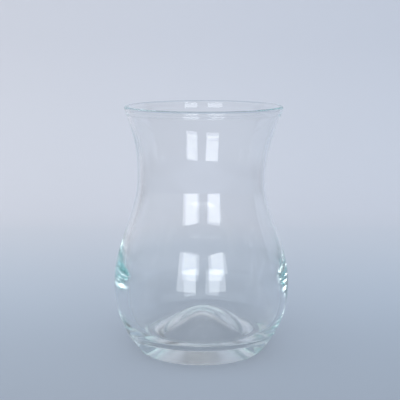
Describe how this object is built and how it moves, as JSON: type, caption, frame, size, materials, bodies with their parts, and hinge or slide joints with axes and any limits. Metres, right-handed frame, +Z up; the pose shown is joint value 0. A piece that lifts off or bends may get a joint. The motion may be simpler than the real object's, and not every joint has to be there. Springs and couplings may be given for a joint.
{
  "type": "vase",
  "caption": "Clear glass vase with a low round belly, a long waist, a flared beaded mouth and a heavy base pushed up into a dome.",
  "frame": {"origin": "on the axis, at the level of the flat ring that the vase stands on", "axes": "+Z up along the axis of revolution, towards the mouth; X and Y are alike"},
  "size_m": [0.1436, 0.1436, 0.2],
  "materials": {
    "glass": "clear, fire-polished, faint green tint in thick glass"
  },
  "bodies": {
    "root": {"vase_body": "glass"}
  },
  "joints": []
}
